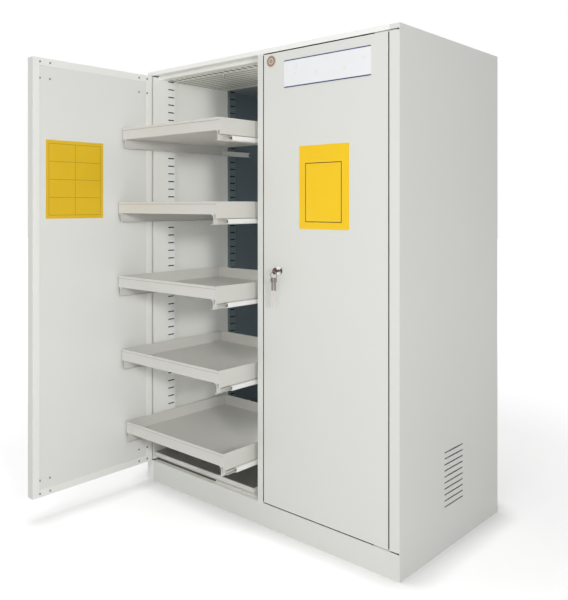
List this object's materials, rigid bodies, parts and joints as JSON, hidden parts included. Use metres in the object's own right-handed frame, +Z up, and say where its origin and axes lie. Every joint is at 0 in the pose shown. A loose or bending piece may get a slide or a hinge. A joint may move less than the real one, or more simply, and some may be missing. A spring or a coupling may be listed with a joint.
{
  "type": "reagent safety cabinet",
  "caption": "Tall steel storage cabinet with two hinged leaves; the left one stands open over shallow trays on telescopic slides.",
  "frame": {"origin": "centre of the carcass's base, on the floor", "axes": "+X to the right seen from the front, +Y to the back, +Z up; the leaves open towards -Y"},
  "size_m": [1.14, 1.208, 1.67],
  "materials": {
    "carcass_paint": "satin powder coat, warm white",
    "liner_paint": "satin powder coat, light grey",
    "upright_paint": "satin powder coat",
    "ceiling_paint": "satin powder coat, grey",
    "collar_plastic": "matt",
    "bright_steel": "zinc plated",
    "slide_steel": "light coated steel",
    "tray_paint": "satin powder coat",
    "lock_chrome": "polished",
    "key_plastic": "dark brown-red bow",
    "key_steel": "nickel plated"
  },
  "bodies": {
    "cabinet": {"side_panel_left": "carcass_paint", "side_panel_right": "carcass_paint", "back_panel": "carcass_paint", "top_panel": "carcass_paint", "exhaust_collar": "collar_plastic", "base_pan": "carcass_paint", "bottom_panel": "liner_paint", "header_rail": "carcass_paint", "centre_post": "carcass_paint", "partition_panel": "liner_paint", "uprights_left_bay": "upright_paint", "uprights_right_bay": "upright_paint", "ceiling_grille_left": "ceiling_paint", "ceiling_grille_right": "ceiling_paint", "ceiling_nozzle": "bright_steel", "sump_tray_right": "liner_paint", "outer_slides_left": "slide_steel", "outer_slides_right": "slide_steel", "hinge_pins": "bright_steel"},
    "left_leaf": {"left_leaf_shell": "carcass_paint", "left_leaf_liner": "liner_paint", "left_hinge_arms": "bright_steel"},
    "right_leaf": {"right_leaf_shell": "carcass_paint", "right_leaf_liner": "liner_paint", "right_hinge_arms": "bright_steel", "lock_barrel": "lock_chrome"},
    "lock_turn": {"lock_plug": "bright_steel", "lock_key": "key_plastic"},
    "keys": {"key_bunch": "key_steel"},
    "sump_left": {"sump_tray_left": "liner_paint"},
    "middle_left_1": {"middle_slides_left_1": "slide_steel"},
    "tray_left_1": {"tray_left_1": "tray_paint", "inner_slides_left_1": "slide_steel"},
    "tray_right_1": {"tray_right_1": "tray_paint", "slides_right_1": "slide_steel"},
    "middle_left_2": {"middle_slides_left_2": "slide_steel"},
    "tray_left_2": {"tray_left_2": "tray_paint", "inner_slides_left_2": "slide_steel"},
    "tray_right_2": {"tray_right_2": "tray_paint", "slides_right_2": "slide_steel"},
    "middle_left_3": {"middle_slides_left_3": "slide_steel"},
    "tray_left_3": {"tray_left_3": "tray_paint", "inner_slides_left_3": "slide_steel"},
    "tray_right_3": {"tray_right_3": "tray_paint", "slides_right_3": "slide_steel"},
    "middle_left_4": {"middle_slides_left_4": "slide_steel"},
    "tray_left_4": {"tray_left_4": "tray_paint", "inner_slides_left_4": "slide_steel"},
    "tray_right_4": {"tray_right_4": "tray_paint", "slides_right_4": "slide_steel"},
    "middle_left_5": {"middle_slides_left_5": "slide_steel"},
    "tray_left_5": {"tray_left_5": "tray_paint", "inner_slides_left_5": "slide_steel"},
    "tray_right_5": {"tray_right_5": "tray_paint", "slides_right_5": "slide_steel"}
  },
  "joints": [
    {"name": "left_leaf_hinge", "type": "hinge", "parent": "cabinet", "child": "left_leaf", "pos_m": [-0.554, -0.323, 0.079], "axis": [0, 0, -1], "range_deg": [0, 20]},
    {"name": "right_leaf_hinge", "type": "hinge", "parent": "cabinet", "child": "right_leaf", "pos_m": [0.554, -0.323, 0.079], "axis": [0, 0, 1], "range_deg": [0, 110]},
    {"name": "lock_turn", "type": "hinge", "parent": "right_leaf", "child": "lock_turn", "pos_m": [0.117, -0.335, 0.876], "axis": [0, -1, 0], "range_deg": [0, 90]},
    {"name": "keys_swing", "type": "hinge", "parent": "lock_turn", "child": "keys", "pos_m": [0.117, -0.365, 0.8747], "axis": [-1, 0, 0], "range_deg": [-4, 60]},
    {"name": "sump_left_slide", "type": "slide", "parent": "cabinet", "child": "sump_left", "axis": [0, -1, 0], "range_m": [-0.031, 0.25]},
    {"name": "middle_left_1_slide", "type": "slide", "parent": "cabinet", "child": "middle_left_1", "axis": [0, -1, 0], "range_m": [-0.165, 0.075]},
    {"name": "tray_left_1_slide", "type": "slide", "parent": "middle_left_1", "child": "tray_left_1", "axis": [0, -1, 0], "range_m": [-0.047, 0.193]},
    {"name": "tray_right_1_slide", "type": "slide", "parent": "cabinet", "child": "tray_right_1", "axis": [0, -1, 0], "range_m": [0, 0.02]},
    {"name": "middle_left_2_slide", "type": "slide", "parent": "cabinet", "child": "middle_left_2", "axis": [0, -1, 0], "range_m": [-0.184, 0.056]},
    {"name": "tray_left_2_slide", "type": "slide", "parent": "middle_left_2", "child": "tray_left_2", "axis": [0, -1, 0], "range_m": [-0.047, 0.193]},
    {"name": "tray_right_2_slide", "type": "slide", "parent": "cabinet", "child": "tray_right_2", "axis": [0, -1, 0], "range_m": [0, 0.02]},
    {"name": "middle_left_3_slide", "type": "slide", "parent": "cabinet", "child": "middle_left_3", "axis": [0, -1, 0], "range_m": [-0.186, 0.054]},
    {"name": "tray_left_3_slide", "type": "slide", "parent": "middle_left_3", "child": "tray_left_3", "axis": [0, -1, 0], "range_m": [-0.047, 0.193]},
    {"name": "tray_right_3_slide", "type": "slide", "parent": "cabinet", "child": "tray_right_3", "axis": [0, -1, 0], "range_m": [0, 0.02]},
    {"name": "middle_left_4_slide", "type": "slide", "parent": "cabinet", "child": "middle_left_4", "axis": [0, -1, 0], "range_m": [-0.165, 0.075]},
    {"name": "tray_left_4_slide", "type": "slide", "parent": "middle_left_4", "child": "tray_left_4", "axis": [0, -1, 0], "range_m": [-0.051, 0.189]},
    {"name": "tray_right_4_slide", "type": "slide", "parent": "cabinet", "child": "tray_right_4", "axis": [0, -1, 0], "range_m": [0, 0.02]},
    {"name": "middle_left_5_slide", "type": "slide", "parent": "cabinet", "child": "middle_left_5", "axis": [0, -1, 0], "range_m": [-0.144, 0.096]},
    {"name": "tray_left_5_slide", "type": "slide", "parent": "middle_left_5", "child": "tray_left_5", "axis": [0, -1, 0], "range_m": [-0.051, 0.189]},
    {"name": "tray_right_5_slide", "type": "slide", "parent": "cabinet", "child": "tray_right_5", "axis": [0, -1, 0], "range_m": [0, 0.02]}
  ]
}
